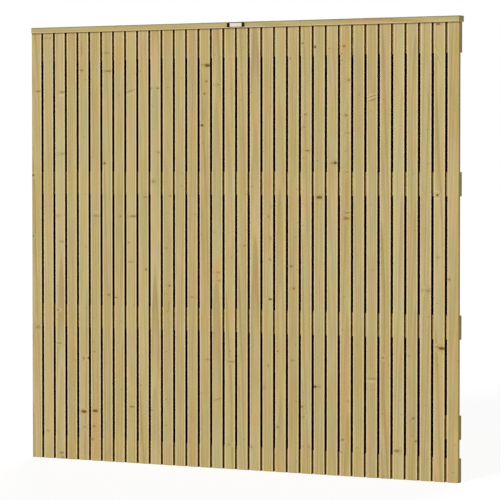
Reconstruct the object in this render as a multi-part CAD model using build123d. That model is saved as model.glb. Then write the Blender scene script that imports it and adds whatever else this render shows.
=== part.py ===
from build123d import *
import os

# A closed fence panel of planed softwood. Four rails run the full length between two layers of
# upright slats. The rear slats stand over the gaps of the front ones, so nothing shows through,
# and a cap rail covers the top of both layers.
#
# Frame: X along the panel, Z up, front towards -Y. The origin is at the middle of the foot of the
# panel, halfway through its thickness. All sizes are in millimetres.

# Slats
FRONT_SLATS = 34
SLAT_WIDTH = 50.0
SLAT_GAP = 9.1
SLAT_THICKNESS = 13.0
SLAT_LENGTH = 1800.0
SLAT_EASING = 3.0
REAR_SLATS_PER_NODE = 3

# Rails, and the short block of the same board at the right end
RAIL_THICKNESS = 15.0
RAIL_HEIGHT = 95.0
TOP_RAIL_HEIGHT = 120.0
RAIL_EASING = 1.5
BLOCK_LENGTH = 95.0
BLOCK_RISE = 73.0

# Cap rail
CAP_THICKNESS = 24.0
CAP_OVERHANG = 2.0
CAP_EASING = 3.0

# Screws through the cap into the top rail
CAP_SCREWS = 4
SCREW_INSET = 60.0
SCREW_HEAD_DIAMETER = 8.0
SCREW_SHANK_DIAMETER = 4.0
SCREW_LENGTH = 60.0
SCREW_RECESS_DIAMETER = 4.0
SCREW_RECESS_DEPTH = 1.4

# Plate on the front of the cap, and its pins
PLATE_LENGTH = 82.0
PLATE_HEIGHT = 18.0
PLATE_THICKNESS = 1.5
PLATE_CORNER = 2.0
PIN_INSET = 6.0
PIN_HEAD_DIAMETER = 4.0
PIN_HEAD_HEIGHT = 0.8
PIN_SHANK_DIAMETER = 1.8
PIN_LENGTH = 14.0

# Room between a shank or a head and its hole, measured on the radius
FIT = 0.1

# Turn of a slat about the upright, in degrees
FRONT = 0
REAR = 180

# Sizes that follow from the ones above
REAR_SLATS = FRONT_SLATS - 1
SLAT_PITCH = SLAT_WIDTH + SLAT_GAP
PANEL_WIDTH = FRONT_SLATS * SLAT_PITCH - SLAT_GAP
LAYER_OFFSET = (RAIL_THICKNESS + SLAT_THICKNESS) / 2
PANEL_THICKNESS = RAIL_THICKNESS + 2 * SLAT_THICKNESS
CAP_DEPTH = PANEL_THICKNESS + 2 * CAP_OVERHANG
CAP_TOP = SLAT_LENGTH + CAP_THICKNESS
CAP_MIDDLE = SLAT_LENGTH + CAP_THICKNESS / 2
RAIL_SPACING = (SLAT_LENGTH - TOP_RAIL_HEIGHT - 3 * RAIL_HEIGHT) / 3
SCREW_HEAD_HEIGHT = (SCREW_HEAD_DIAMETER - SCREW_SHANK_DIAMETER) / 2
PLATE_BACK = -CAP_DEPTH / 2
PLATE_FRONT = PLATE_BACK - PLATE_THICKNESS


def board(length, section):
    """A board along X with the given section, which is drawn in Y and Z about its middle."""
    return extrude(Plane.YZ * section, amount=length / 2, both=True)


def slat(x, turn):
    """One upright slat at x, its two outer arrises rounded. A half turn puts it on the rear."""
    blank = Rectangle(SLAT_WIDTH, SLAT_THICKNESS)
    outer = blank.vertices().sort_by(Axis.Y)[:2]
    section = fillet(outer, SLAT_EASING)
    return Pos(x, 0, 0) * Rot(0, 0, turn) * Pos(0, -LAYER_OFFSET, 0) * extrude(section, amount=SLAT_LENGTH)


def rail_section(height):
    """Section of a rail board with its four arrises taken off."""
    blank = Rectangle(RAIL_THICKNESS, height)
    return chamfer(blank.vertices(), RAIL_EASING)


def rail(bottom, height):
    """One full-length rail whose lower edge is at the given height."""
    return Pos(0, 0, bottom + height / 2) * board(PANEL_WIDTH, rail_section(height))


def end_block():
    """The offcut of rail board that backs the last slats above the bottom rail."""
    offcut = board(BLOCK_LENGTH, rail_section(RAIL_HEIGHT))
    x = (PANEL_WIDTH - BLOCK_LENGTH) / 2
    z = RAIL_HEIGHT + BLOCK_RISE + RAIL_HEIGHT / 2
    return Pos(x, 0, z) * offcut


def screw_profile(room):
    """Half section of a countersunk screw, grown by the given room on its sides and its end."""
    head = SCREW_HEAD_DIAMETER / 2 + room
    shank = SCREW_SHANK_DIAMETER / 2 + room
    end = -SCREW_LENGTH - room
    outline = Polyline((0, 0), (head, 0), (shank, -SCREW_HEAD_HEIGHT), (shank, end), (0, end), close=True)
    return Plane.XZ * make_face(outline)


def screw():
    """One countersunk screw along Z with a square driver recess, its head's top at the origin."""
    body = revolve(screw_profile(0), Axis.Z)
    recess = Box(
        SCREW_RECESS_DIAMETER / 2 ** 0.5,
        SCREW_RECESS_DIAMETER / 2 ** 0.5,
        SCREW_RECESS_DEPTH,
        align=(Align.CENTER, Align.CENTER, Align.MAX),
    )
    return body - recess


def screw_hole():
    """The countersunk hole that a screw fills, its mouth at the origin."""
    return revolve(screw_profile(FIT), Axis.Z)


def screw_places():
    """Where the screws sit flush in the cap: evenly along the middle plane of the top rail."""
    run = PANEL_WIDTH - 2 * SCREW_INSET
    step = run / (CAP_SCREWS - 1)
    return [Pos(-run / 2 + i * step, 0, CAP_TOP) for i in range(CAP_SCREWS)]


def pin_profile():
    """Half section of a flat-headed pin along Z, the underside of its head at the origin."""
    head = PIN_HEAD_DIAMETER / 2
    shank = PIN_SHANK_DIAMETER / 2
    top = PIN_HEAD_HEIGHT
    outline = Polyline(
        (0, top), (head, top), (head, 0), (shank, 0), (shank, -PIN_LENGTH), (0, -PIN_LENGTH), close=True
    )
    return Plane.XZ * make_face(outline)


def pin_places():
    """Where the pins pass through the plate, their heads towards the front."""
    x = PLATE_LENGTH / 2 - PIN_INSET
    return [Pos(side * x, PLATE_FRONT, CAP_MIDDLE) * Rot(90, 0, 0) for side in (-1, 1)]


def pin():
    """One pin with a thin flat head."""
    return revolve(pin_profile(), Axis.Z)


def pin_hole():
    """The hole that a pin's shank fills, from the front of the plate to just past its point."""
    return Cylinder(
        PIN_SHANK_DIAMETER / 2 + FIT,
        PIN_LENGTH + FIT,
        align=(Align.CENTER, Align.CENTER, Align.MAX),
    )


def blank_plate():
    """The flat plate on the front of the cap, with its corners cut and two pin holes."""
    blank = Rectangle(PLATE_LENGTH, PLATE_HEIGHT)
    section = Plane.XZ * chamfer(blank.vertices(), PLATE_CORNER)
    plate = Pos(0, PLATE_BACK, CAP_MIDDLE) * extrude(section, amount=PLATE_THICKNESS)
    for place in pin_places():
        plate -= place * pin_hole()
    return plate


def cap_rail():
    """The cap with eased arrises, countersunk for its screws and bored for the plate's pins."""
    section = RectangleRounded(CAP_DEPTH, CAP_THICKNESS, CAP_EASING)
    cap = Pos(0, 0, CAP_MIDDLE) * board(PANEL_WIDTH, section)
    for place in screw_places():
        cap -= place * screw_hole()
    for place in pin_places():
        cap -= place * pin_hole()
    return cap


def top_rail():
    """The wider rail under the cap, with the lower part of each screw hole."""
    bored = rail(SLAT_LENGTH - TOP_RAIL_HEIGHT, TOP_RAIL_HEIGHT)
    for place in screw_places():
        bored -= place * screw_hole()
    return bored


def front_slat_x(index):
    """Middle of a front slat, counted from the left."""
    return -PANEL_WIDTH / 2 + SLAT_WIDTH / 2 + index * SLAT_PITCH


def rear_slat_x(index):
    """Middle of a rear slat, over the gap between two front ones."""
    return front_slat_x(index) + SLAT_PITCH / 2


def panel_pieces():
    """Every piece of the panel under the name of its node."""
    pieces = {}
    for index in range(FRONT_SLATS):
        pieces[f"front_slat_{index + 1:02d}"] = slat(front_slat_x(index), FRONT)
    for first in range(0, REAR_SLATS, REAR_SLATS_PER_NODE):
        last = min(first + REAR_SLATS_PER_NODE, REAR_SLATS)
        group = [slat(rear_slat_x(index), REAR) for index in range(first, last)]
        pieces[f"rear_slats_{first + 1:02d}_{last:02d}"] = Compound(children=group)
    pieces["bottom_rail"] = rail(0, RAIL_HEIGHT)
    pieces["lower_middle_rail"] = rail(RAIL_HEIGHT + RAIL_SPACING, RAIL_HEIGHT)
    pieces["upper_middle_rail"] = rail(2 * (RAIL_HEIGHT + RAIL_SPACING), RAIL_HEIGHT)
    pieces["top_rail"] = top_rail()
    pieces["end_block"] = end_block()
    pieces["cap_rail"] = cap_rail()
    pieces["cap_screws"] = Compound(children=[place * screw() for place in screw_places()])
    pieces["blank_plate"] = blank_plate()
    pieces["plate_pins"] = Compound(children=[place * pin() for place in pin_places()])
    return pieces


os.makedirs("parts", exist_ok=True)
for node, shape in panel_pieces().items():
    export_step(shape, f"parts/{node}.step")
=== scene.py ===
import math
import random

import bmesh
import bpy
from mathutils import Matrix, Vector


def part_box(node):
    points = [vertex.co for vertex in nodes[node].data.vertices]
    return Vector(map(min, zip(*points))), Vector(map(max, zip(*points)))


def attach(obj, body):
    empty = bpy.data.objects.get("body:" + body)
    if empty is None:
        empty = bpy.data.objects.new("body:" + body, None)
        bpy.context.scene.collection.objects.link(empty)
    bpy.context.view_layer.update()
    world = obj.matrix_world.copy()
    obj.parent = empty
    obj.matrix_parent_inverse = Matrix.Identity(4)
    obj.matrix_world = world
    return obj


# Looks for a closed panel of planed softwood: grain on every board, knots and gap shade on the slats,
# zinc screws and nails, browned pins, and a bare two-tone plate on the cap. Lengths are in metres unless
# a name or a comment says otherwise.

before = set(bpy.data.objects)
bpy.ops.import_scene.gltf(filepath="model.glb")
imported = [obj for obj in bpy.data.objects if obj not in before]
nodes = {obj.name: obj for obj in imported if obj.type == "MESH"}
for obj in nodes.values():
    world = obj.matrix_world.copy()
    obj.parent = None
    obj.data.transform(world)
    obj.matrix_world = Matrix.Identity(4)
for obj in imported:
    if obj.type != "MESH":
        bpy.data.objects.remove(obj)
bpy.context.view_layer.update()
scene = bpy.context.scene

MM = 0.001

# Camera at the photograph's viewing angle, angles in degrees
CAMERA_PLACE = (5.6236, -9.8102, 1.2376)
CAMERA_TILT = 88.109
CAMERA_TURN = 29.5858
CAMERA_LENS = 199.6
CAMERA_SHIFT = 0.0156
CAMERA_FAR = 1000.0

# Light: a soft key from the front and a little above, a weaker fill from behind, and a plain sky
KEY_FROM = (-0.02, -1.00, 0.38)
KEY_STRENGTH = 2.12
KEY_ANGLE = 16.0
FILL_FROM = (-0.35, 1.00, 0.55)
FILL_STRENGTH = 1.50
FILL_ANGLE = 30.0
SKY_STRENGTH = 0.29

# Floor: its half width, its grey for the light that it throws back, and its grey and glow as it is seen
FLOOR_SIZE = 120.0
FLOOR_GREY = 0.80
FLOOR_SEEN_GREY = 0.25
FLOOR_GLOW = 0.83

# Places of the boards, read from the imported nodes
RAILS = ("bottom_rail", "lower_middle_rail", "upper_middle_rail", "top_rail")
FRONT_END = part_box("front_slat_34")[1].x
REAR_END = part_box("rear_slats_31_33")[1].x
FRONT_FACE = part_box("front_slat_01")[0].y
SLAT_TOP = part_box("front_slat_01")[1].z
SLAT_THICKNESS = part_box("front_slat_01")[1].y - FRONT_FACE
SLAT_HALF = (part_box("front_slat_01")[1].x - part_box("front_slat_01")[0].x) / 2
SLAT_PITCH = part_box("front_slat_02")[0].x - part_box("front_slat_01")[0].x
CAP_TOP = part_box("cap_rail")[1].z

# The curve between screen values and light
SCREEN_WHITE = 255
CURVE_KNEE = 0.04045
CURVE_SLOPE = 12.92
CURVE_OFFSET = 0.055
CURVE_POWER = 2.4


def colour(red, green, blue):
    """A colour given in screen values from 0 to 255, as linear red, green, blue and alpha."""
    linear = []
    for value in (red, green, blue):
        share = value / SCREEN_WHITE
        if share <= CURVE_KNEE:
            linear.append(share / CURVE_SLOPE)
        else:
            linear.append(((share + CURVE_OFFSET) / (1 + CURVE_OFFSET)) ** CURVE_POWER)
    return (*linear, 1.0)


# Wood colours
DEEP = colour(177, 155, 97)
LIGHT = colour(196, 180, 132)
WARM_CAST = (1.06, 1.00, 0.89, 1.0)
COOL_CAST = (0.95, 1.01, 1.09, 1.0)
GREEN_CAST = (0.963, 1.03, 0.95, 1.0)
PINK_CAST = (1.037, 0.97, 1.05, 1.0)
WARM = colour(197, 158, 98)
# Pale: the colour of pale scars, and of the painted highlight on the slat arrises and the cap's lower
# arrises
PALE = colour(222, 206, 168)
LATEWOOD = colour(150, 119, 66)
END_GRAIN = colour(162, 149, 104)
CAP_END = colour(176, 170, 112)
KNOT_BROWN = colour(92, 66, 26)
KNOT_HALO = colour(166, 130, 74)

# How much of their colour boards keep: painted shade at the lip of a gap and deep in it, each with open
# depth or a rail behind, on the faces inside the panel, on a rail and on the outer sides of a layer; a
# painted shadow at the top of a slat under the cap, darker at its foot, and where the cap is weathered
GAP_LIP_SHADE = (0.58, 0.34, 0.14, 1.0)
RAIL_LIP_SHADE = (0.48, 0.34, 0.08, 1.0)
OPEN_GAP_SHADE = (0.04, 0.01, 0.01, 1.0)
RAIL_GAP_SHADE = (0.28, 0.18, 0.02, 1.0)
INNER_FACE_SHADE = (0.10, 0.06, 0.03, 1.0)
RAIL_FACE_SHADE = (0.96, 0.87, 0.53, 1.0)
OUTER_SIDE_SHADE = (0.92, 0.92, 0.86, 1.0)
UNDER_CAP_SHADOW = (0.28, 0.21, 0.11, 1.0)
FOOT = (0.78, 0.76, 0.74, 1.0)
WEATHERED = (0.58, 0.60, 0.66, 1.0)

# Shapes of marks on a board: half width, half height in millimetres, and rise across the width
SPECK = (3.5, 3, 0)
SPOT = (6, 5, 0)
SHORT = (9, 3.5, 0)
BAR = (14, 3.8, 0)
WIDE = (20, 4.2, 0)
DOT = (8, 6, 0)
BLOTCH = (14, 6.5, 0)
SMUDGE = (13, 8, 0)
SMEAR = (3, 24, 0)
SLANT = (22, 2.2, 0.3)
SLIVER = (9, 4.5, -2.2)
GLOW = (18, 16, 0)

# How strongly a mark shows
FAINT = 0.35
CLEAR = 0.56
STRONG = 0.9

# Knots of each front slat, read from the photograph: height and distance from the slat's middle
# in millimetres, shape, strength
SLAT_KNOTS = {
    1: [(1555, 8, BAR, CLEAR), (1200, -20, SPOT, STRONG), (940, -20, SPOT, FAINT), (555, 5, SMUDGE, FAINT)],
    2: [(1780, -11, SHORT, FAINT), (115, -3, SHORT, FAINT)],
    3: [
        (1550, 11, BAR, CLEAR), (1290, 11, BAR, FAINT), (1030, -13, SHORT, FAINT), (920, 9, SHORT, FAINT),
        (630, -13, SHORT, FAINT), (490, -5, BAR, FAINT), (25, 6, SHORT, CLEAR),
    ],
    5: [
        (1730, -8, SMEAR, FAINT), (1640, -9, SHORT, CLEAR), (432, 24, SPOT, STRONG), (430, 0, SPOT, FAINT),
        (205, 0, BLOTCH, STRONG), (140, 6, SPOT, FAINT),
    ],
    6: [
        (1030, 4, WIDE, FAINT), (460, -8, SHORT, FAINT), (210, -3, BLOTCH, STRONG), (145, -9, SPOT, CLEAR),
        (90, -16, SPOT, CLEAR),
    ],
    7: [(1710, -3, BAR, FAINT), (1635, 4, WIDE, CLEAR), (1250, -15, SPOT, STRONG), (700, 8, SHORT, CLEAR)],
    8: [(1030, 6, SPOT, FAINT), (690, -16, SHORT, CLEAR)],
    9: [
        (1550, -5, SLANT, CLEAR), (1030, 9, WIDE, CLEAR), (920, -13, SPOT, FAINT), (840, -4, BAR, FAINT),
        (235, 3, BAR, CLEAR),
    ],
    10: [(1110, 12, BAR, FAINT), (810, 13, SPOT, CLEAR)],
    11: [
        (1560, 10, SHORT, CLEAR), (1560, -19, SPECK, CLEAR), (1295, 14, SPOT, CLEAR),
        (1175, -11, SPOT, CLEAR), (225, -18, SPECK, CLEAR),
    ],
    12: [(1115, 10, SHORT, FAINT), (900, -7, SHORT, FAINT), (745, 8, SPOT, CLEAR), (660, 5, SMEAR, FAINT)],
    13: [(115, 2, SPECK, FAINT)],
    14: [(1040, 13, SPECK, FAINT), (700, -2, SHORT, FAINT)],
    15: [
        (1650, 12, BLOTCH, STRONG), (1653, -9, SHORT, FAINT), (1585, 8, SPOT, CLEAR),
        (1535, -2, SPOT, CLEAR), (1405, -13, DOT, STRONG), (445, 13, SHORT, FAINT),
    ],
    16: [(1570, 7, SHORT, FAINT), (803, 5, SHORT, FAINT), (770, 8, SHORT, FAINT), (285, 7, SLANT, FAINT)],
    17: [(440, 5, WIDE, FAINT), (100, -2, SHORT, FAINT)],
    18: [(1125, 14, SPECK, FAINT), (980, 15, SPECK, FAINT), (915, 9, SHORT, FAINT)],
    19: [(95, -18, SPOT, FAINT)],
    20: [
        (1075, 14, SPECK, FAINT), (1035, 3, SPOT, FAINT), (945, 13, SPOT, FAINT), (860, 10, SPOT, FAINT),
        (700, 12, SHORT, STRONG), (430, 1, SPOT, FAINT), (340, -16, SPOT, FAINT),
    ],
    21: [(490, -14, SPECK, STRONG), (183, -12, SPOT, CLEAR)],
    22: [
        (1670, -15, SPOT, FAINT), (835, -10, SPOT, CLEAR), (745, 3, SPOT, CLEAR), (455, -4, SHORT, FAINT),
    ],
    23: [
        (1730, -16, SPOT, CLEAR), (1445, -4, SPOT, CLEAR), (1395, -11, SPOT, FAINT), (1300, 5, BAR, CLEAR),
        (1270, -15, SPECK, FAINT), (270, -18, SPOT, CLEAR), (230, -11, SPOT, FAINT), (110, 13, SPOT, FAINT),
        (110, -18, SPECK, FAINT),
    ],
    24: [
        (1715, -19, SPOT, STRONG), (1113, 0, BLOTCH, STRONG), (353, -19, DOT, STRONG),
        (353, -6, BAR, FAINT),
    ],
    25: [(1251, 13, DOT, STRONG), (1250, 3, BAR, FAINT)],
    26: [
        (1715, -7, DOT, CLEAR), (1685, -18, SPECK, CLEAR), (1660, -17, SPECK, CLEAR),
        (1580, 16, SPOT, CLEAR), (1440, 2, SPOT, CLEAR), (1370, 12, SHORT, FAINT), (1215, 7, SHORT, FAINT),
        (1053, 11, BAR, FAINT), (1030, 4, BLOTCH, CLEAR), (300, 12, SPECK, CLEAR), (145, -12, SPOT, CLEAR),
        (95, -17, SPECK, CLEAR),
    ],
    28: [(1500, 0, SLANT, CLEAR), (1514, 0, SLANT, FAINT), (395, 0, WIDE, FAINT)],
    29: [(480, -10, SPOT, FAINT), (450, 16, SPECK, FAINT)],
    30: [(113, -6, BLOTCH, CLEAR)],
    31: [(985, 13, SPECK, FAINT), (490, -14, SPOT, FAINT), (245, 8, SPOT, CLEAR), (155, 18, SPOT, CLEAR)],
    32: [(750, 12, SMUDGE, FAINT)],
    33: [
        (1792, -6, SHORT, STRONG), (1664, -8, SLIVER, FAINT), (1125, -8, SPOT, STRONG),
        (880, -7, SPECK, FAINT), (525, 12, BLOTCH, STRONG), (530, -8, BAR, FAINT),
    ],
    34: [(795, -16, SPOT, CLEAR), (40, 2, SPECK, FAINT)],
}

# Pale scars beside some knots, and long warm streaks, given in the same way
SLAT_SCARS = {
    3: [(1536, 6, BAR, CLEAR)],
    6: [(1046, 5, BAR, FAINT)],
    7: [(1225, -19, SMEAR, CLEAR)],
    9: [(1535, -5, SLANT, CLEAR)],
    28: [(1507, 0, SLANT, CLEAR), (1521, 0, SLANT, CLEAR), (384, 0, WIDE, FAINT)],
    33: [(1684, -14, SLIVER, CLEAR), (1138, -12, BAR, CLEAR), (1112, -6, BAR, CLEAR)],
}
SLAT_STREAKS = {
    1: [(1050, -5, (14, 90, 0), FAINT)],
    5: [(200, 0, GLOW, CLEAR)],
    6: [(100, 0, (18, 140, 0), STRONG), (1300, 6, (10, 120, 0), FAINT)],
    8: [(1700, 0, (16, 70, 0), CLEAR), (400, 0, (14, 70, 0), CLEAR)],
    14: [(110, 0, (8, 110, 0), STRONG), (700, -2, GLOW, CLEAR)],
    15: [(1645, 4, GLOW, CLEAR)],
    16: [(800, 0, (16, 60, 0), STRONG), (330, 5, (10, 45, 0), CLEAR)],
    19: [(425, 0, (14, 75, 0), CLEAR), (200, 0, (12, 40, 0), CLEAR)],
    22: [(745, 3, GLOW, FAINT)],
    26: [
        (300, 0, (18, 170, 0), STRONG), (1710, -5, (16, 45, 0), STRONG), (1025, 4, GLOW, STRONG),
        (970, -8, (7, 80, 0), CLEAR),
    ],
    33: [(325, 5, (12, 140, 0), CLEAR), (526, 6, GLOW, STRONG)],
}

# Slats that stand out as paler than the rest
SLAT_TONES = {3: 0.14, 9: 0.14, 11: 0.10, 30: 0.28}

# Knots of the rear slats, drawn at random: how many to a slat, how low, how high and how far aside in
# millimetres, their shapes and their strengths
REAR_KNOTS = 4
REAR_KNOT_LOW = 40
REAR_KNOT_HIGH = 1760
REAR_KNOT_ASIDE = 17
RANDOM_SHAPES = (SPECK, SPOT, SPOT, SHORT, BAR, WIDE)
RANDOM_STRENGTHS = (FAINT, FAINT, CLEAR, STRONG)

# Slats of one rear node, counted in pitches from its middle one
REAR_PLACES = (-1, 0, 1)

# Seeds of the random draws and of the plating's mottle. A front slat takes its own number.
REAR_SEED = 100
RAIL_SEED = 200
CAP_SEED = 300
NAIL_SEED = 7
PLATING_SEEDS = {"cap_screws": 1, "plate_pins": 2, "slat_nails": 3}


class Shader:
    """A node tree under construction, with a short call for each kind of node used here."""

    def __init__(self, tree):
        self.tree = tree

    def add(self, kind, **settings):
        node = self.tree.nodes.new(kind)
        for name, value in settings.items():
            setattr(node, name, value)
        return node

    def feed(self, socket, value):
        """Links a socket to another one, or sets it to a plain value."""
        if isinstance(value, bpy.types.NodeSocket):
            self.tree.links.new(value, socket)
        else:
            socket.default_value = value

    def fed(self, node, **values):
        """The same node with its named inputs fed."""
        for name, value in values.items():
            self.feed(node.inputs[name], value)
        return node

    def math(self, operation, *values):
        node = self.add("ShaderNodeMath", operation=operation)
        for socket, value in zip(node.inputs, values):
            self.feed(socket, value)
        return node.outputs[0]

    def vector(self, operation, *values):
        node = self.add("ShaderNodeVectorMath", operation=operation)
        for socket, value in zip(node.inputs, values):
            self.feed(socket, value)
        return node.outputs["Value" if operation == "LENGTH" else "Vector"]

    def split(self, vector):
        node = self.add("ShaderNodeSeparateXYZ")
        self.feed(node.inputs[0], vector)
        return node.outputs

    def join(self, x, y, z):
        node = self.add("ShaderNodeCombineXYZ")
        for socket, value in zip(node.inputs, (x, y, z)):
            self.feed(socket, value)
        return node.outputs[0]

    def noise(self, place, stretch, detail=2.0, roughness=0.5, output="Fac"):
        node = self.add("ShaderNodeTexNoise", noise_dimensions="3D")
        stretched = self.vector("MULTIPLY", place, stretch)
        self.fed(node, Vector=stretched, Scale=1.0, Detail=detail, Roughness=roughness)
        return node.outputs[output]

    def swing(self, place, stretch, size, detail=2.0):
        """Noise about zero, scaled to the given size."""
        return self.math("MULTIPLY_ADD", self.noise(place, stretch, detail), size, -size / 2)

    def step(self, value, start, end, low=0.0, high=1.0):
        """A smooth change from low to high while the value goes from start to end."""
        node = self.add("ShaderNodeMapRange", interpolation_type="SMOOTHSTEP")
        given = {"Value": value, "From Min": start, "From Max": end, "To Min": low, "To Max": high}
        return self.fed(node, **given).outputs[0]

    def mix(self, share, first, second, blend="MIX"):
        node = self.add("ShaderNodeMix", data_type="RGBA", blend_type=blend)
        inputs = [socket for socket in node.inputs if socket.enabled]
        for socket, value in zip(inputs, (share, first, second)):
            self.feed(socket, value)
        return next(socket for socket in node.outputs if socket.enabled)

    def group(self, tree, **values):
        node = self.add("ShaderNodeGroup")
        node.node_tree = tree
        return self.fed(node, **values).outputs


# Kinds of socket, the middle of a noise's colour, and white
FLOAT = "NodeSocketFloat"
VECTOR = "NodeSocketVector"
COLOUR = "NodeSocketColor"
HALF = (0.5, 0.5, 0.5)
WHITE = (1, 1, 1, 1)


def new_group(name, inputs, outputs):
    """An empty node group with the given sockets. Returns it with its shader, inputs and outputs."""
    tree = bpy.data.node_groups.new(name, "ShaderNodeTree")
    for socket, kind in inputs.items():
        tree.interface.new_socket(name=socket, in_out="INPUT", socket_type=kind)
    for socket, kind in outputs.items():
        tree.interface.new_socket(name=socket, in_out="OUTPUT", socket_type=kind)
    shader = Shader(tree)
    return tree, shader, shader.add("NodeGroupInput").outputs, shader.add("NodeGroupOutput")


# How the timber grew: sideways sway of the grain, width of a year's ring, taper of the trunk, drift of
# the rings in years, and the parts of a year at which the latewood starts, is full and stops
SWAY = 0.012
SWAY_STRETCH = (7, 7, 0.9)
RING_WIDTH = 0.0052
RING_TAPER = 0.010
DRIFT_STRETCH = (4, 4, 1.3)
DRIFT_YEARS = 1.5
LATE_START = 0.20
LATE_FULL = 0.85
LATE_STOP = 0.88


def year_rings(shader, place, own, pith, push):
    """Darkness of the latewood, from 0 to 1, where a board cuts the rings of its trunk."""
    sway = shader.vector("SUBTRACT", shader.noise(own, SWAY_STRETCH, output="Color"), HALF)
    swayed = shader.vector("MULTIPLY_ADD", sway, (SWAY, SWAY, 0), place)
    from_pith = shader.vector("MULTIPLY", shader.vector("SUBTRACT", swayed, pith), (1, 1, 0))
    radius = shader.vector("LENGTH", from_pith)
    radius = shader.math("MULTIPLY_ADD", shader.split(place)["Z"], RING_TAPER, radius)
    years = shader.math("ADD", shader.math("DIVIDE", radius, RING_WIDTH), push)
    years = shader.math("ADD", years, shader.swing(own, DRIFT_STRETCH, DRIFT_YEARS))
    season = shader.math("FRACT", years)
    rise = shader.step(season, LATE_START, LATE_FULL)
    fall = shader.step(season, LATE_STOP, 1.0, 1.0, 0.0)
    vigour = shader.add("ShaderNodeTexWhiteNoise", noise_dimensions="1D")
    shader.fed(vigour, W=shader.math("FLOOR", years))
    return shader.math("MULTIPLY", shader.math("MULTIPLY", rise, fall), vigour.outputs["Value"])


# Resin flecks: how closely their cells lie, which cells hold one, and its soft edge within its cell
FLECK_STRETCH = (22, 22, 40)
FLECK_CHOICE = (0.45, 0.75)
FLECK_EDGE = (0.17, 0.05)


def flecks(shader, own):
    """Small resin flecks, a few to each metre of board."""
    cells = shader.add("ShaderNodeTexVoronoi", voronoi_dimensions="3D", feature="F1")
    shader.fed(cells, Vector=shader.vector("MULTIPLY", own, FLECK_STRETCH), Scale=1.0, Randomness=1.0)
    chosen = shader.step(shader.split(cells.outputs["Color"])["X"], *FLECK_CHOICE)
    return shader.math("MULTIPLY", shader.step(cells.outputs["Distance"], *FLECK_EDGE), chosen)


# Swings of the timber's tone: how finely each runs across, through and along a board, size, detail
TONE_SWINGS = (((14, 14, 2.2), 0.62, 2.0), ((55, 55, 9), 0.58, 2.0), ((150, 150, 1.6), 0.65, 3.0))
TONE_REACH = 0.55

# Swings between a cool and a warm cast, and between a green and a pink one
CAST_REACH = 0.5
WARMTH_OFFSET = (31, 7, 53)
WARMTH_STRETCH = (62, 62, 5.5)
WARMTH_SWING = 2.3
TINT_OFFSET = (17, 43, 29)
TINT_STRETCH = (30, 30, 6)
TINT_SWING = 2.4

# How far latewood and flecks cover the wood, and the fibre that shades it
LATE_SHARE = 0.52
FLECK_SHARE = 0.35
FIBRE_STRETCH = (520, 520, 11)
FIBRE_DETAIL = 3.0
FIBRE_ROUGHNESS = 0.6
FIBRE_LOW = 0.90
FIBRE_SWING = 0.20


def cast_over(shader, wood, value, first, second):
    """Wood under a cast that turns from the first to the second as the value rises."""
    cast = shader.mix(shader.step(value, -CAST_REACH, CAST_REACH), first, second)
    return shader.mix(1.0, wood, cast, blend="MULTIPLY")


def timber_group():
    """Softwood at a place given as across, through and along the board."""
    tree, shader, given, result = new_group(
        "timber",
        {"Place": VECTOR, "Shift": VECTOR, "Pith": VECTOR, "Push": FLOAT, "Tone": FLOAT, "Warmth": FLOAT},
        {"Colour": COLOUR, "Late": FLOAT, "Fibre": FLOAT},
    )
    own = shader.vector("ADD", given["Place"], given["Shift"])
    late = year_rings(shader, given["Place"], own, given["Pith"], given["Push"])
    fibre = shader.noise(own, FIBRE_STRETCH, FIBRE_DETAIL, FIBRE_ROUGHNESS)

    tone = given["Tone"]
    for stretch, size, detail in TONE_SWINGS:
        tone = shader.math("ADD", tone, shader.swing(own, stretch, size, detail))
    wood = shader.mix(shader.step(tone, -TONE_REACH, TONE_REACH), DEEP, LIGHT)
    warmth = shader.swing(shader.vector("ADD", own, WARMTH_OFFSET), WARMTH_STRETCH, WARMTH_SWING)
    wood = cast_over(shader, wood, shader.math("ADD", given["Warmth"], warmth), COOL_CAST, WARM_CAST)
    tint = shader.swing(shader.vector("ADD", own, TINT_OFFSET), TINT_STRETCH, TINT_SWING)
    wood = cast_over(shader, wood, tint, GREEN_CAST, PINK_CAST)
    wood = shader.mix(shader.math("MULTIPLY", late, LATE_SHARE), wood, LATEWOOD)
    wood = shader.mix(shader.math("MULTIPLY", flecks(shader, own), FLECK_SHARE), wood, KNOT_BROWN)
    grey = shader.math("MULTIPLY_ADD", fibre, FIBRE_SWING, FIBRE_LOW)
    wood = shader.mix(1.0, wood, shader.join(grey, grey, grey), blend="MULTIPLY")
    shader.fed(result, Colour=wood, Late=late, Fibre=fibre)
    return tree


def reach(shader, given):
    """Distance from a mark's centre, with 1 on its outline. A mark may rise across its width."""
    x, y, z = shader.split(shader.vector("SUBTRACT", given["Place"], given["Centre"]))
    level = shader.math("SUBTRACT", z, shader.math("MULTIPLY", x, given["Rise"]))
    return shader.vector("LENGTH", shader.vector("DIVIDE", shader.join(x, y, level), given["Radii"]))


# Soft edges of marks from outside to inside, where 1 is a mark's outline, and the years by which a knot
# pushes the rings aside
CORE_EDGE = (1.35, 0.55)
HALO_EDGE = (3.2, 0.8)
PUSH_EDGE = (3.4, 0.5)
PUSH_YEARS = 2.2
BLOT_EDGE = (1.6, 0.2)

MARK = {"Place": VECTOR, "Centre": VECTOR, "Radii": VECTOR, "Rise": FLOAT, "Strength": FLOAT}


def knot_group():
    """One knot, laid over the knots before it: its core, its halo and its push on the rings."""
    tree, shader, given, result = new_group(
        "knot",
        {**MARK, "Core": FLOAT, "Halo": FLOAT, "Push": FLOAT},
        {"Core": FLOAT, "Halo": FLOAT, "Push": FLOAT},
    )
    distance = reach(shader, given)
    core = shader.math("MULTIPLY", shader.step(distance, *CORE_EDGE), given["Strength"])
    halo = shader.math("MULTIPLY", shader.step(distance, *HALO_EDGE), given["Strength"])
    push = shader.step(distance, *PUSH_EDGE, 0.0, PUSH_YEARS)
    core = shader.math("MAXIMUM", core, given["Core"])
    halo = shader.math("MAXIMUM", halo, given["Halo"])
    push = shader.math("ADD", push, given["Push"])
    shader.fed(result, Core=core, Halo=halo, Push=push)
    return tree


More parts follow.
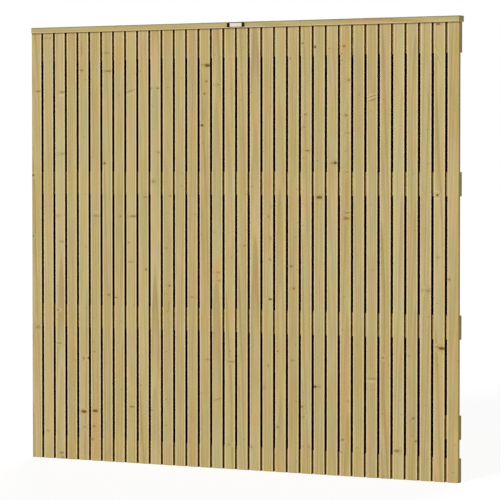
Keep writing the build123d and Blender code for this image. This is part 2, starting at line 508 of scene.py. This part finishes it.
def blot_group():
    """One soft blot, such as a pale scar or a warm streak, laid over the blots before it."""
    tree, shader, given, result = new_group("blot", {**MARK, "Share": FLOAT}, {"Share": FLOAT})
    share = shader.math("MULTIPLY", shader.step(reach(shader, given), *BLOT_EDGE), given["Strength"])
    shader.fed(result, Share=shader.math("MAXIMUM", share, given["Share"]))
    return tree


# How softly the shade of a gap changes at the edge of a rail, and how far below the cap it stops
BACKING_SOFT = 4 * MM
BACKING_STOP = 9 * MM


def backing_group():
    """1 at heights where a rail or the end block closes a gap from behind, 0 elsewhere."""
    tree, shader, given, result = new_group("backing", {"Place": VECTOR}, {"Backed": FLOAT})
    axes = shader.split(given["Place"])
    z = axes["Z"]
    backed = 0.0
    for name in (*RAILS, "end_block"):
        low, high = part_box(name)
        top = min(high.z, SLAT_TOP - BACKING_STOP)
        above = shader.step(z, low.z - BACKING_SOFT, low.z + BACKING_SOFT)
        below = shader.step(z, top + BACKING_SOFT, top - BACKING_SOFT)
        inside = shader.math("MULTIPLY", above, below)
        along = shader.math("GREATER_THAN", axes["X"], low.x - BACKING_SOFT)
        inside = shader.math("MULTIPLY", inside, along)
        backed = shader.math("MAXIMUM", backed, inside)
    shader.fed(result, Backed=backed)
    return tree


TIMBER = timber_group()
KNOT = knot_group()
BLOT = blot_group()
BACKING = backing_group()


def new_material(name):
    """A new material with its shader and its surface node, ready for nodes."""
    material = bpy.data.materials.new(name)
    material.use_nodes = True
    return material, Shader(material.node_tree), material.node_tree.nodes["Principled BSDF"]


# Depths over which the sides of the boards take painted shade in a gap, the margin that stays open at the
# ends of a layer, the heights of the painted shadow under the cap and of the darker foot, and how far a
# face turns to count as a side
LIP_END = 0.7 * MM
SHADE_START = 0.3 * MM
SHADE_END = 1.8 * MM
INNER_SOFT = 0.4 * MM
END_MARGIN = 6.0 * MM
CAP_SHADE = 8 * MM
FOOT_SHADE = 5 * MM
SIDE_TURN = (0.3, 0.8)


def inside_panel(shader, place, layer_end):
    """1 between the ends of a layer of boards, 0 on the sides that close it."""
    from_middle = shader.math("ABSOLUTE", shader.split(place)["X"])
    return shader.math("LESS_THAN", from_middle, layer_end - END_MARGIN)


def gap_shade(shader, place, normal, end_face, wood, layer_end):
    """Wood of a slat with painted shade in its gaps and on its outer sides, a painted shadow under the cap
    and a darker foot.
    """
    axes = shader.split(place)
    inside = inside_panel(shader, place, layer_end)
    depth = shader.math("SUBTRACT", -FRONT_FACE, shader.math("ABSOLUTE", axes["Y"]))
    hidden = shader.math("MULTIPLY", inside, shader.math("SUBTRACT", 1.0, end_face))
    inner = shader.step(depth, SLAT_THICKNESS - INNER_SOFT, SLAT_THICKNESS)
    inner_shade = shader.math("MULTIPLY", inner, inside_panel(shader, place, REAR_END))
    hidden = shader.math("MULTIPLY", hidden, shader.math("SUBTRACT", 1.0, inner))
    # Painted shade: the lip and the depth of each gap, and the faces inside the panel, darkened in the
    # colour
    lip_shade = shader.math("MULTIPLY", shader.step(depth, 0.0, LIP_END), hidden)
    deep_shade = shader.math("MULTIPLY", shader.step(depth, SHADE_START, SHADE_END), hidden)
    backed = shader.group(BACKING, Place=place)["Backed"]
    wood = shader.mix(lip_shade, wood, shader.mix(backed, GAP_LIP_SHADE, RAIL_LIP_SHADE), blend="MULTIPLY")
    wood = shader.mix(deep_shade, wood, shader.mix(backed, OPEN_GAP_SHADE, RAIL_GAP_SHADE), blend="MULTIPLY")
    wood = shader.mix(inner_shade, wood, INNER_FACE_SHADE, blend="MULTIPLY")
    # Painted shade on the outer sides of a layer
    side = shader.step(shader.math("ABSOLUTE", normal["X"]), *SIDE_TURN)
    side = shader.math("MULTIPLY", side, shader.math("SUBTRACT", 1.0, inside))
    wood = shader.mix(side, wood, OUTER_SIDE_SHADE, blend="MULTIPLY")
    # Painted shadow along the top of a slat, under the cap
    high = shader.step(axes["Z"], SLAT_TOP - CAP_SHADE, SLAT_TOP)
    wood = shader.mix(high, wood, UNDER_CAP_SHADOW, blend="MULTIPLY")
    # Darker towards the foot of the slat
    low = shader.step(axes["Z"], FOOT_SHADE, 0.0)
    return shader.mix(low, wood, FOOT, blend="MULTIPLY")


def rail_shade(shader, place, end_face, wood):
    """Wood of a rail, with painted shade that makes it a little browner in the gaps between the slats."""
    long_face = shader.math("SUBTRACT", 1.0, end_face)
    inside = shader.math("MULTIPLY", inside_panel(shader, place, REAR_END), long_face)
    return shader.mix(inside, wood, RAIL_FACE_SHADE, blend="MULTIPLY")


# Heights on the cap, measured from its top and its underside, where its upper arrises are worn and its
# lower ones take a painted highlight, by how much, and how far a face turns to count as the top, which is
# less worn
CAP_WORN_START = 7 * MM
CAP_WORN_END = 2 * MM
CAP_WORN_SHARE = 0.9
CAP_HIGHLIGHT_START = 6 * MM
CAP_HIGHLIGHT_END = 2 * MM
CAP_HIGHLIGHT_SHARE = 0.6
CAP_TOP_TURN = (0.8, 1.0)
CAP_TOP_SHARE = 0.45


def cap_finish(shader, place, normal, end_face, wood):
    """Wood of the cap: worn along its upper arrises, with a painted highlight along its lower ones, green
    at its ends.
    """
    wood = shader.mix(end_face, wood, CAP_END)
    z = shader.split(place)["Z"]
    worn = shader.step(z, CAP_TOP - CAP_WORN_START, CAP_TOP - CAP_WORN_END, 0.0, CAP_WORN_SHARE)
    worn = shader.math("MULTIPLY", worn, shader.step(normal["Z"], *CAP_TOP_TURN, 1.0, CAP_TOP_SHARE))
    # Painted highlight along the lower arrises of the cap
    cap_highlight = shader.step(z, SLAT_TOP + CAP_HIGHLIGHT_START, SLAT_TOP + CAP_HIGHLIGHT_END, 0.0, CAP_HIGHLIGHT_SHARE)
    return shader.mix(worn, shader.mix(cap_highlight, wood, PALE), WEATHERED, blend="MULTIPLY")


# Wobble of a mark's outline, and its half depth through a board in millimetres
KNOT_WOBBLE = (0.005, 0, 0.003)
WOBBLE_STRETCH = (170, 170, 170)
WOBBLE_DETAIL = 1.0
KNOT_DEPTH = 60


def lay_marks(shader, group, place, marks, **start):
    """Lays each mark over the ones before it, and returns the last values."""
    values = start
    for centre, (half_width, half_height, rise), strength in marks:
        radii = Vector((half_width, KNOT_DEPTH, half_height)) * MM
        mark = {"Place": place, "Centre": centre, "Radii": radii, "Rise": rise, "Strength": strength}
        outputs = shader.group(group, **mark, **values)
        values = {name: outputs[name] for name in values}
    return values


def board_marks(shader, place, knots, scars, streaks):
    """Values of a board's knots, of its scars and of its streaks, with outlines that wobble a little."""
    wobble = shader.noise(place, WOBBLE_STRETCH, WOBBLE_DETAIL, output="Color")
    wobble = shader.vector("SUBTRACT", wobble, HALF)
    marked = shader.vector("MULTIPLY_ADD", wobble, KNOT_WOBBLE, place)
    knot = lay_marks(shader, KNOT, marked, knots, Core=0.0, Halo=0.0, Push=0.0)
    scar = lay_marks(shader, BLOT, marked, scars, Share=0.0)["Share"]
    streak = lay_marks(shader, BLOT, marked, streaks, Share=0.0)["Share"]
    return knot, scar, streak


# Gloss and relief of planed wood
WOOD_SHINE = 0.05
WOOD_ROUGHNESS = 0.56
WOOD_ROUGHNESS_SWING = 0.22
GRAIN_BUMP = 0.35
GRAIN_DEPTH = 0.4 * MM


def finish_wood(shader, surface, wood, timber):
    """Gives a surface its wood, with the gloss and the relief of the fibre and the rings."""
    roughness = shader.math("MULTIPLY_ADD", timber["Fibre"], WOOD_ROUGHNESS_SWING, WOOD_ROUGHNESS)
    bump = shader.add("ShaderNodeBump")
    height = shader.math("ADD", timber["Fibre"], timber["Late"])
    shader.fed(bump, Strength=GRAIN_BUMP, Distance=GRAIN_DEPTH, Height=height)
    shader.feed(surface.inputs["Base Color"], wood)
    shader.feed(surface.inputs["Roughness"], roughness)
    shader.feed(surface.inputs["Normal"], bump.outputs["Normal"])
    surface.inputs["Specular IOR Level"].default_value = WOOD_SHINE


# Random draws for one board: its place in the timber, its pith aside and behind, its tone and its warmth,
# each with its range; then the step through the timber from one board of a node to the next
SHIFT_REACH = 9
PITH_ASIDE = 0.05
PITH_NEAR = 0.03
PITH_FAR = 0.12
TONE_SPREAD = 0.07
WARMTH_SPREAD = 0.12
BOARD_STEP = (2.3, 5.1, 3.7)

# Painted highlight along the arrises of a slat, measured from its sides, and how far a face turns to count
# as end grain
EDGE_HIGHLIGHT_START = 7.5 * MM
EDGE_HIGHLIGHT_END = 4 * MM
END_TURN = (0.6, 0.9)

# How far each colour covers the wood
EDGE_HIGHLIGHT_SHARE = 0.85
STREAK_SHARE = 0.7
SCAR_SHARE = 0.8
HALO_SHARE = 0.20
CORE_SHARE = 0.95
END_SHARE = 0.7


def board_wood(
    name, centre, upright, seed, knots=(), scars=(), streaks=(), tone=0.0, pitch=None, layer_end=None
):
    """Wood of one board, or of several side by side at a pitch, its grain upright or along the panel.

    A slat has the end of its layer, and takes a painted highlight along its arrises and the painted shade
    of the gaps.
    """
    draw = random.Random(seed)
    material, shader, surface = new_material(name)
    source = shader.add("ShaderNodeTexCoord").outputs
    place = source["Object"]
    normal = shader.split(source["Normal"])
    x, y, z = shader.split(shader.vector("SUBTRACT", place, centre))
    shift = Vector([draw.uniform(-SHIFT_REACH, SHIFT_REACH) for axis in range(3)])
    if pitch:
        number = shader.math("FLOOR", shader.math("DIVIDE", shader.math("ADD", x, pitch / 2), pitch))
        x = shader.math("SUBTRACT", x, shader.math("MULTIPLY", number, pitch))
        shift = shader.vector("MULTIPLY_ADD", shader.join(number, number, number), BOARD_STEP, shift)
    across, along, end_normal = (x, z, normal["Z"]) if upright else (z, x, normal["X"])
    end_face = shader.step(shader.math("ABSOLUTE", end_normal), *END_TURN)
    knot, scar, streak = board_marks(shader, place, knots, scars, streaks)
    timber = shader.group(
        TIMBER,
        Place=shader.join(across, y, along),
        Shift=shift,
        Pith=(draw.uniform(-PITH_ASIDE, PITH_ASIDE), draw.uniform(PITH_NEAR, PITH_FAR), 0),
        Push=knot["Push"],
        Tone=tone + draw.uniform(-TONE_SPREAD, TONE_SPREAD),
        Warmth=draw.uniform(-WARMTH_SPREAD, WARMTH_SPREAD),
    )
    wood = timber["Colour"]
    if layer_end:
        # Painted highlight along the arrises of a slat
        edge_highlight = shader.math("ABSOLUTE", across)
        edge_highlight = shader.step(edge_highlight, SLAT_HALF - EDGE_HIGHLIGHT_START, SLAT_HALF - EDGE_HIGHLIGHT_END, 0.0, EDGE_HIGHLIGHT_SHARE)
        edge_highlight = shader.math("MULTIPLY", edge_highlight, inside_panel(shader, place, layer_end))
        wood = shader.mix(edge_highlight, wood, PALE)
    if streaks:
        wood = shader.mix(shader.math("MULTIPLY", streak, STREAK_SHARE), wood, WARM)
    if scars:
        wood = shader.mix(shader.math("MULTIPLY", scar, SCAR_SHARE), wood, PALE)
    if knots:
        wood = shader.mix(shader.math("MULTIPLY", knot["Halo"], HALO_SHARE), wood, KNOT_HALO)
        wood = shader.mix(shader.math("MULTIPLY", knot["Core"], CORE_SHARE), wood, KNOT_BROWN)
    wood = shader.mix(shader.math("MULTIPLY", end_face, END_SHARE), wood, END_GRAIN)
    if layer_end:
        wood = gap_shade(shader, place, normal, end_face, wood, layer_end)
    elif name == "cap_rail":
        wood = cap_finish(shader, place, normal, end_face, wood)
    else:
        wood = rail_shade(shader, place, end_face, wood)
    finish_wood(shader, surface, wood, timber)
    return material


def dress(node, material):
    """Gives a CAD node its material."""
    slots = nodes[node].data.materials
    slots.clear()
    slots.append(material)


def named(start):
    """Names of the nodes that begin in the given way, in order."""
    return sorted(name for name in nodes if name.startswith(start))


def middle(node):
    """Middle of a node's box."""
    low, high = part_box(node)
    return (low + high) / 2


def placed(marks, centre):
    """Marks given in millimetres on one slat, placed in the panel's frame."""
    return [
        (Vector((centre.x + across * MM, centre.y, height * MM)), shape, strength)
        for height, across, shape, strength in marks
    ]


def dress_front_slats():
    """Gives each front slat its own wood and marks."""
    for name in named("front_slat"):
        number = int(name[-2:])
        centre = middle(name)
        marks = [placed(found.get(number, []), centre) for found in (SLAT_KNOTS, SLAT_SCARS, SLAT_STREAKS)]
        tone = SLAT_TONES.get(number, 0.0)
        dress(name, board_wood(name, centre, True, number, *marks, tone, layer_end=FRONT_END))


def random_knots(draw, slat):
    """Knots drawn at random for a rear slat with the given middle."""
    marks = [
        (
            draw.uniform(REAR_KNOT_LOW, REAR_KNOT_HIGH),
            draw.uniform(-REAR_KNOT_ASIDE, REAR_KNOT_ASIDE),
            draw.choice(RANDOM_SHAPES),
            draw.choice(RANDOM_STRENGTHS),
        )
        for count in range(REAR_KNOTS)
    ]
    return placed(marks, slat)


def dress_rear_slats():
    """Gives each node of rear slats its wood, with knots on every slat."""
    for name in named("rear_slats"):
        centre = middle(name)
        seed = REAR_SEED + int(name[-2:])
        draw = random.Random(seed)
        knots = []
        for number in REAR_PLACES:
            knots += random_knots(draw, centre + Vector((number * SLAT_PITCH, 0, 0)))
        dress(name, board_wood(name, centre, True, seed, knots, pitch=SLAT_PITCH, layer_end=REAR_END))


def dress_rails():
    """Gives the rails, the end block and the cap their wood."""
    for number, name in enumerate((*RAILS, "end_block")):
        dress(name, board_wood(name, middle(name), False, RAIL_SEED + number))
    dress("cap_rail", board_wood("cap_rail", middle("cap_rail"), False, CAP_SEED))


# Colours of plated steel, bright and dull
ZINC = colour(176, 178, 176)
ZINC_DULL = colour(132, 134, 132)
BROWNED = colour(60, 46, 30)
BROWNED_DULL = colour(28, 21, 14)

# Plated steel: stretch and limits of its mottle and of its film, gloss and relief
MOTTLE_STRETCH = (900, 900, 900)
MOTTLE_DETAIL = 3.0
MOTTLE_LIMITS = (0.35, 0.65)
MOTTLE_BUMP = 0.2
MOTTLE_DEPTH = 0.05 * MM
FILM_STRETCH = (260, 260, 260)
FILM_LIMITS = (0.3, 0.7)
PLATING_ROUGHNESS = (0.32, 0.55)
PLATING_METAL = 0.9


def plating(name, bright, dull):
    """Plated steel with the mottle of its crystals and a dull film."""
    material, shader, surface = new_material(name)
    seed = PLATING_SEEDS[name]
    place = shader.vector("ADD", shader.add("ShaderNodeTexCoord").outputs["Object"], (seed, seed, seed))
    mottle = shader.noise(place, MOTTLE_STRETCH, MOTTLE_DETAIL)
    film = shader.noise(place, FILM_STRETCH)
    shader.feed(surface.inputs["Base Color"], shader.mix(shader.step(mottle, *MOTTLE_LIMITS), dull, bright))
    shader.feed(surface.inputs["Roughness"], shader.step(film, *FILM_LIMITS, *PLATING_ROUGHNESS))
    surface.inputs["Metallic"].default_value = PLATING_METAL
    bump = shader.add("ShaderNodeBump")
    shader.fed(bump, Strength=MOTTLE_BUMP, Distance=MOTTLE_DEPTH, Height=mottle)
    shader.feed(surface.inputs["Normal"], bump.outputs["Normal"])
    return material


# Colours of the plate and of its field, clean and worn
PLATE_BLACK = colour(12, 10, 8)
PLATE_SCUFF = colour(46, 42, 36)
FIELD_CREAM = colour(226, 215, 197)
FIELD_SOILED = colour(212, 199, 179)

# Lacquer: stretch and limits of the wear on the plate and on its field, detail of that wear, gloss, and
# relief of the orange peel
PLATE_WEAR = ((350, 350, 700), 0.60, 0.80)
FIELD_WEAR = ((30, 30, 60), 0.40, 0.70)
WEAR_DETAIL = 4.0
WEAR_ROUGHNESS = 0.6
LACQUER_SHINE = 0.12
LACQUER_ROUGHNESS = (0.34, 0.52)
PEEL_STRETCH = (1500, 1500, 1500)
PEEL_DETAIL = 1.0
PEEL_BUMP = 0.15
PEEL_DEPTH = 0.04 * MM


def plate_finish(name, clean, worn, stretch, low, high):
    """Smooth lacquer with fine orange peel, its wear drawn by noise between the two limits."""
    material, shader, surface = new_material(name)
    place = shader.add("ShaderNodeTexCoord").outputs["Object"]
    wear = shader.noise(place, stretch, WEAR_DETAIL, WEAR_ROUGHNESS)
    peel = shader.noise(place, PEEL_STRETCH, PEEL_DETAIL)
    shader.feed(surface.inputs["Base Color"], shader.mix(shader.step(wear, low, high), clean, worn))
    shader.feed(surface.inputs["Roughness"], shader.step(wear, low, high, *LACQUER_ROUGHNESS))
    bump = shader.add("ShaderNodeBump")
    shader.fed(bump, Strength=PEEL_BUMP, Distance=PEEL_DEPTH, Height=peel)
    shader.feed(surface.inputs["Normal"], bump.outputs["Normal"])
    surface.inputs["Specular IOR Level"].default_value = LACQUER_SHINE
    return material


def add_piece(name, shape, material):
    """Turns a finished bmesh into a piece that rides with the panel."""
    mesh = bpy.data.meshes.new(name)
    shape.to_mesh(mesh)
    shape.free()
    mesh.materials.append(material)
    piece = bpy.data.objects.new(name, mesh)
    scene.collection.objects.link(piece)
    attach(piece, "root")


# Bare field on the plate: its size, how far it stands out of the plate and reaches into it, its corners
FIELD_LENGTH = 55 * MM
FIELD_HEIGHT = 15.4 * MM
FIELD_PROUD = 0.3 * MM
FIELD_SUNK = 0.1 * MM
FIELD_CORNER = 1.4 * MM
FIELD_BEVEL = 0.1 * MM
CORNER_STEPS = 6


def rounded_outline(length, height, corner):
    """Points of a rectangle with round corners, counted from its right side."""
    points = []
    for quarter, (side, end) in enumerate(((1, 1), (-1, 1), (-1, -1), (1, -1))):
        middle_x = side * (length / 2 - corner)
        middle_z = end * (height / 2 - corner)
        for step in range(CORNER_STEPS + 1):
            angle = math.radians(90 * (quarter + step / CORNER_STEPS))
            points.append((middle_x + corner * math.cos(angle), middle_z + corner * math.sin(angle)))
    return points


def make_field():
    """The pale field of the plate, a thin pressed sheet with a soft edge."""
    low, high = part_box("blank_plate")
    centre = (low + high) / 2
    shape = bmesh.new()
    rings = []
    for inset, depth in ((0, FIELD_SUNK), (0, FIELD_BEVEL - FIELD_PROUD), (FIELD_BEVEL, -FIELD_PROUD)):
        outline = rounded_outline(FIELD_LENGTH - 2 * inset, FIELD_HEIGHT - 2 * inset, FIELD_CORNER - inset)
        rings.append([shape.verts.new((centre.x + x, low.y + depth, centre.z + z)) for x, z in outline])
    for back, front in zip(rings, rings[1:]):
        for index in range(len(back)):
            after = (index + 1) % len(back)
            shape.faces.new((back[index], back[after], front[after], front[index]))
    shape.faces.new(rings[0])
    shape.faces.new(rings[-1])
    bmesh.ops.recalc_face_normals(shape, faces=shape.faces)
    finish = plate_finish("plate_field", FIELD_CREAM, FIELD_SOILED, *FIELD_WEAR)
    add_piece("plate_field", shape, finish)


# Nails through the rear slats into the rails: radius and height of a head, its sides, its place aside and
# up from the middle of a crossing, how far it strays, and its outline in shares of radius and height
NAIL_HEAD = 3.0 * MM
NAIL_PROUD = 0.5 * MM
NAIL_SIDES = 14
NAIL_ACROSS = 13 * MM
NAIL_UP = 20 * MM
NAIL_STRAY = 2 * MM
NAIL_PROFILE = ((1.0, -0.6), (1.0, 0.45), (0.86, 0.8), (0.5, 1.0))


def add_nail(shape, x, back_face, z):
    """One flat nail head, slightly domed, standing on the rear face at x and z."""
    rings = []
    for share, rise in NAIL_PROFILE:
        ring = []
        for side in range(NAIL_SIDES):
            angle = 2 * math.pi * side / NAIL_SIDES
            across = share * NAIL_HEAD * math.cos(angle)
            up = share * NAIL_HEAD * math.sin(angle)
            ring.append(shape.verts.new((x + across, back_face + rise * NAIL_PROUD, z + up)))
        rings.append(ring)
    for inner, outer in zip(rings, rings[1:]):
        for side in range(NAIL_SIDES):
            after = (side + 1) % NAIL_SIDES
            shape.faces.new((inner[side], inner[after], outer[after], outer[side]))
    shape.faces.new(rings[0])
    shape.faces.new(rings[-1])


def make_nails():
    """Two nails at each crossing of a rear slat and a rail, a little unevenly driven."""
    draw = random.Random(NAIL_SEED)
    shape = bmesh.new()
    back_face = -FRONT_FACE
    for name in named("rear_slats"):
        for number in REAR_PLACES:
            slat_x = middle(name).x + number * SLAT_PITCH
            for rail in RAILS:
                for side in (-1, 1):
                    x = slat_x + side * NAIL_ACROSS + draw.uniform(-NAIL_STRAY, NAIL_STRAY)
                    z = middle(rail).z - side * NAIL_UP + draw.uniform(-NAIL_STRAY, NAIL_STRAY)
                    add_nail(shape, x, back_face, z)
    bmesh.ops.recalc_face_normals(shape, faces=shape.faces)
    add_piece("slat_nails", shape, plating("slat_nails", ZINC, ZINC_DULL))


def make_camera():
    """The camera that sees the panel as the photograph does."""
    data = bpy.data.cameras.new("camera")
    data.lens = CAMERA_LENS
    data.shift_y = CAMERA_SHIFT
    data.clip_end = CAMERA_FAR
    camera = bpy.data.objects.new("camera", data)
    camera.location = CAMERA_PLACE
    camera.rotation_euler = (math.radians(CAMERA_TILT), 0, math.radians(CAMERA_TURN))
    scene.collection.objects.link(camera)
    scene.camera = camera


def seen_ray(shader):
    """1 for a ray that shows the backdrop: straight from the camera, mirrored or passed through."""
    path = shader.add("ShaderNodeLightPath").outputs
    seen = shader.math("MAXIMUM", path["Is Camera Ray"], path["Is Glossy Ray"])
    return shader.math("MAXIMUM", seen, path["Is Transmission Ray"])


def make_world():
    """A plain sky that gives soft light, and shows white where it is seen."""
    world = bpy.data.worlds.new("studio")
    world.use_nodes = True
    shader = Shader(world.node_tree)
    sky = world.node_tree.nodes["Background"]
    sky.inputs["Color"].default_value = WHITE
    shader.feed(sky.inputs["Strength"], shader.step(seen_ray(shader), 0.0, 1.0, SKY_STRENGTH, 1.0))
    scene.world = world


def make_sun(name, direction, strength, angle):
    """A soft far light that shines from the given direction."""
    data = bpy.data.lights.new(name, "SUN")
    data.energy = strength
    data.angle = math.radians(angle)
    light = bpy.data.objects.new(name, data)
    light.rotation_euler = Vector(direction).to_track_quat("Z", "Y").to_euler()
    scene.collection.objects.link(light)


def floor_material():
    """Pale floor that the camera sees as white, with the object's soft shadow still on it."""
    material, shader, surface = new_material("floor")
    surface.inputs["Roughness"].default_value = 1.0
    surface.inputs["Specular IOR Level"].default_value = 0.0
    seen = seen_ray(shader)
    grey = shader.step(seen, 0.0, 1.0, FLOOR_GREY, FLOOR_SEEN_GREY)
    shader.feed(surface.inputs["Base Color"], shader.join(grey, grey, grey))
    surface.inputs["Emission Color"].default_value = WHITE
    shader.feed(surface.inputs["Emission Strength"], shader.math("MULTIPLY", seen, FLOOR_GLOW))
    return material


def make_floor():
    """A wide floor under the panel, which isn't part of it."""
    mesh = bpy.data.meshes.new("floor")
    shape = bmesh.new()
    bmesh.ops.create_grid(shape, x_segments=1, y_segments=1, size=FLOOR_SIZE)
    shape.to_mesh(mesh)
    shape.free()
    floor = bpy.data.objects.new("floor", mesh)
    mesh.materials.append(floor_material())
    scene.collection.objects.link(floor)


dress_front_slats()
dress_rear_slats()
dress_rails()
dress("cap_screws", plating("cap_screws", ZINC, ZINC_DULL))
dress("plate_pins", plating("plate_pins", BROWNED, BROWNED_DULL))
dress("blank_plate", plate_finish("blank_plate", PLATE_BLACK, PLATE_SCUFF, *PLATE_WEAR))
make_field()
make_nails()
make_camera()
make_world()
make_sun("key", KEY_FROM, KEY_STRENGTH, KEY_ANGLE)
make_sun("fill", FILL_FROM, FILL_STRENGTH, FILL_ANGLE)
make_floor()
scene.view_settings.view_transform = "Standard"
